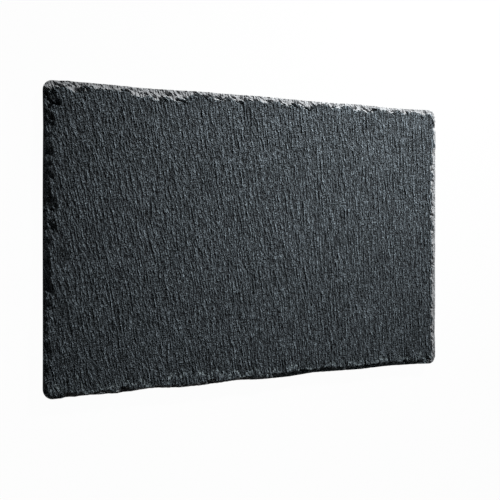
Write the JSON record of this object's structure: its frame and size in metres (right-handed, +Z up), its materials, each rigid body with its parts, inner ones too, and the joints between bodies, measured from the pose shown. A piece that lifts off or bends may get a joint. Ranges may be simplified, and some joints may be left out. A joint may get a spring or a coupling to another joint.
{
  "type": "slate serving board",
  "caption": "Rectangular serving board of split natural slate with hand-flaked edges, resting on rubber feet stuck on with foam discs.",
  "frame": {"origin": "middle of the board's footprint, on the plane that the four feet rest on", "axes": "+X along the long side towards the right end as seen in the picture, +Y across the board towards the rear edge (the picture's upper edge), +Z up out of the serving face"},
  "size_m": [0.3, 0.2, 0.008],
  "materials": {
    "slate": "matte",
    "foot_rubber": "matte",
    "foam_tape": "matte"
  },
  "bodies": {
    "root": {"slate_plate": "slate", "foot_front_left": "foot_rubber", "foot_front_right": "foot_rubber", "foot_rear_left": "foot_rubber", "foot_rear_right": "foot_rubber", "adhesive_front_left": "foam_tape", "adhesive_front_right": "foam_tape", "adhesive_rear_left": "foam_tape", "adhesive_rear_right": "foam_tape"}
  },
  "joints": []
}
